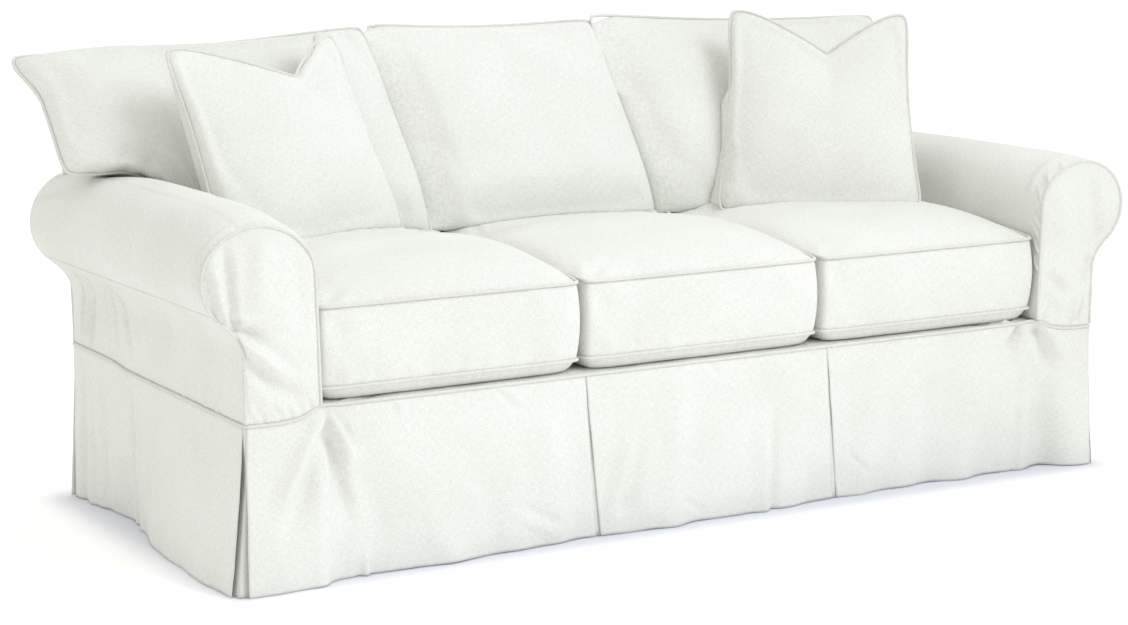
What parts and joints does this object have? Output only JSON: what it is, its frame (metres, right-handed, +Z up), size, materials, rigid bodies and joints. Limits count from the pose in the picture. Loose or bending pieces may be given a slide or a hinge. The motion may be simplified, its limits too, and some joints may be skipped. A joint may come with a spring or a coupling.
{
  "type": "sofa slipcover set",
  "caption": "Loose skirted slipcover for a rolled-arm sofa, with welted box seat cushions, back cushions and throw pillows, shown as fitted.",
  "frame": {"origin": "middle of the whole set's footprint, on the floor that the hem reaches; the arms' own middle is 26 mm towards +X", "axes": "+X to the right seen from the front, +Y towards the back of the sofa, +Z up"},
  "size_m": [2.2148, 0.9265, 0.989],
  "materials": {
    "cotton": "matte plain weave, off-white",
    "welting": "matte, cord covered in the same cloth"
  },
  "bodies": {
    "root": {"arm_front_left": "cotton", "arm_front_right": "cotton", "arm_left": "cotton", "arm_rear_left": "cotton", "arm_rear_right": "cotton", "arm_right": "cotton", "arm_welt_left": "welting", "arm_welt_right": "welting", "back_cushion_left": "cotton", "back_cushion_middle": "cotton", "back_cushion_right": "cotton", "back_gusset_left": "cotton", "back_gusset_right": "cotton", "back_welt_left": "welting", "back_welt_middle": "welting", "back_welt_right": "welting", "deck": "cotton", "inside_back": "cotton", "outside_arm_left": "cotton", "outside_arm_right": "cotton", "outside_back": "cotton", "pillow_welt_left": "welting", "pillow_welt_right": "welting", "seat_cushion_left": "cotton", "seat_cushion_middle": "cotton", "seat_cushion_right": "cotton", "seat_welt_bottom_left": "welting", "seat_welt_bottom_middle": "welting", "seat_welt_bottom_right": "welting", "seat_welt_top_left": "welting", "seat_welt_top_middle": "welting", "seat_welt_top_right": "welting", "skirt_back_left": "cotton", "skirt_back_middle": "cotton", "skirt_back_right": "cotton", "skirt_front_left": "cotton", "skirt_front_middle": "cotton", "skirt_front_right": "cotton", "skirt_side_left": "cotton", "skirt_side_right": "cotton", "skirt_welt": "welting", "throw_pillow_left": "cotton", "throw_pillow_right": "cotton", "underlay_back_left": "cotton", "underlay_back_right": "cotton", "underlay_front_corner_left": "cotton", "underlay_front_corner_right": "cotton", "underlay_front_left": "cotton", "underlay_front_right": "cotton", "underlay_rear_corner_left": "cotton", "underlay_rear_corner_right": "cotton"}
  },
  "joints": []
}
